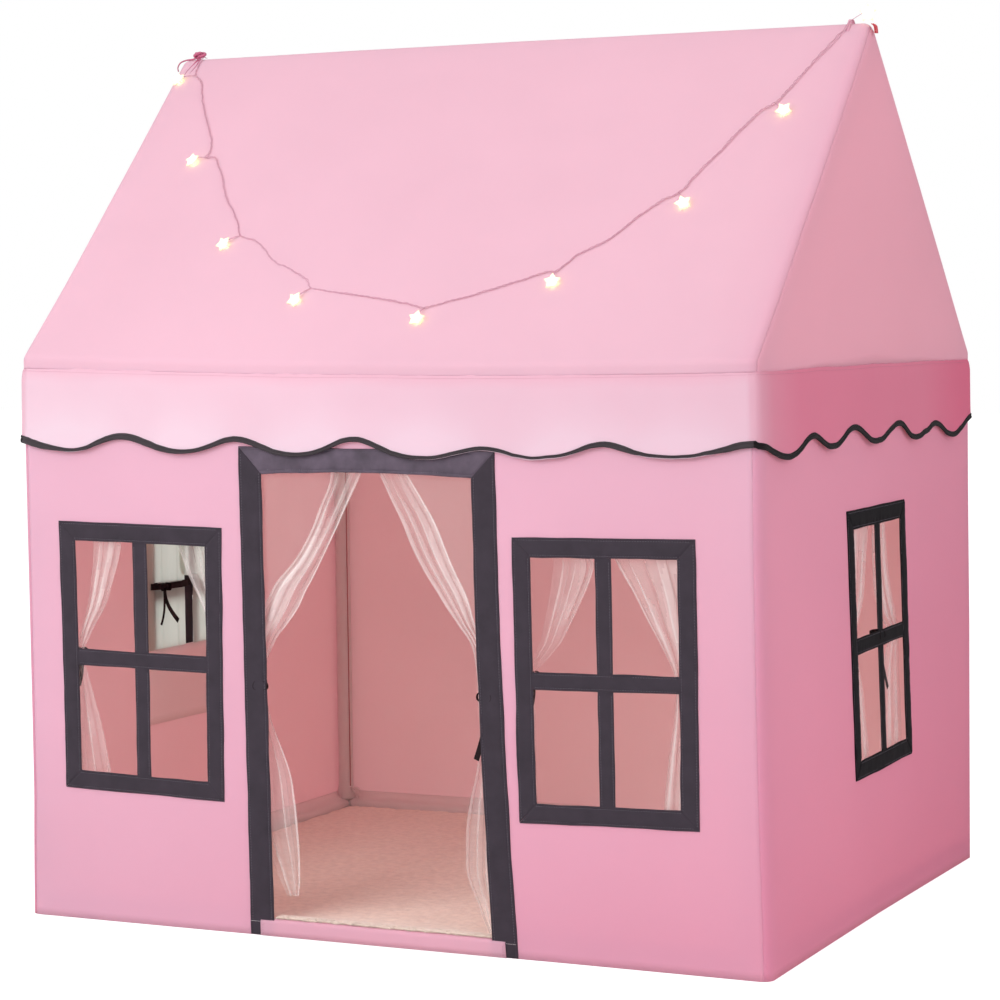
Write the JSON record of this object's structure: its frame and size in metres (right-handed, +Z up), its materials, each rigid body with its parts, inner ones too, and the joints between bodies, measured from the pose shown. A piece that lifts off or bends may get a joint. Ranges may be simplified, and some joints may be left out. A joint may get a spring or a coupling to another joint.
{
  "type": "play tent",
  "caption": "Child's cloth playhouse tent on a plugged tube frame, with a pitched roof, scalloped valance, curtained door and windows, a plush mat and a string of star lamps.",
  "frame": {"origin": "centre of the footprint on the floor", "axes": "+Z up, door side towards -Y, ridge along X"},
  "size_m": [1.2107, 1.0098, 1.3793],
  "materials": {
    "pink_cloth": "matt woven polyester",
    "dark_trim": "matt woven binding",
    "sheer_cloth": "sheer voile",
    "dark_ribbon": "satin ribbon",
    "plush": "short plush pile",
    "white_tube": "smooth",
    "white_moulding": "fine moulded",
    "clear_cord": "clear twisted flex with frosted lamps",
    "cell_jacket": "plain jacket"
  },
  "bodies": {
    "tent": {"back_wall": "pink_cloth", "base_corner_back_left": "white_moulding", "base_corner_back_right": "white_moulding", "base_corner_front_left": "white_moulding", "base_corner_front_right": "white_moulding", "base_pole_back": "white_tube", "base_pole_front": "white_tube", "base_pole_left": "white_tube", "base_pole_right": "white_tube", "battery_box": "white_moulding", "battery_cell_one": "cell_jacket", "battery_cell_two": "cell_jacket", "corner_post_back_left": "white_tube", "corner_post_back_right": "white_tube", "corner_post_front_left": "white_tube", "corner_post_front_right": "white_tube", "door_curtain_left": "sheer_cloth", "door_curtain_right": "sheer_cloth", "door_threshold": "pink_cloth", "door_trim": "dark_trim", "eave_corner_back_left": "white_moulding", "eave_corner_back_right": "white_moulding", "eave_corner_front_left": "white_moulding", "eave_corner_front_right": "white_moulding", "eave_pole_back": "white_tube", "eave_pole_front": "white_tube", "eave_pole_left": "white_tube", "eave_pole_right": "white_tube", "floor_mat": "plush", "front_wall_header": "pink_cloth", "front_wall_left": "pink_cloth", "front_wall_right": "pink_cloth", "left_wall": "pink_cloth", "light_string": "clear_cord", "rafter_back_left": "white_tube", "rafter_back_right": "white_tube", "rafter_front_left": "white_tube", "rafter_front_right": "white_tube", "ribbon_tie_left": "dark_ribbon", "ribbon_tie_right": "dark_ribbon", "ridge_joint_left": "white_moulding", "ridge_joint_right": "white_moulding", "ridge_loop_left": "pink_cloth", "ridge_loop_right": "pink_cloth", "ridge_pole": "white_tube", "right_wall": "pink_cloth", "roof_back": "pink_cloth", "roof_front": "pink_cloth", "valance": "pink_cloth", "valance_tape": "dark_trim", "window_curtains_front_left": "sheer_cloth", "window_curtains_front_right": "sheer_cloth", "window_curtains_left": "sheer_cloth", "window_curtains_right": "sheer_cloth", "window_trim_front_left": "dark_trim", "window_trim_front_right": "dark_trim", "window_trim_left": "dark_trim", "window_trim_right": "dark_trim"},
    "cover": {"battery_cover": "white_moulding"},
    "switch": {"battery_switch": "dark_ribbon"}
  },
  "joints": [
    {"name": "cover_slide", "type": "slide", "parent": "tent", "child": "cover", "axis": [0, 0.7021, -0.712], "range_m": [0, 0.056]},
    {"name": "switch_slide", "type": "slide", "parent": "tent", "child": "switch", "axis": [0, 0.7021, -0.712], "range_m": [0, 0.003]}
  ]
}
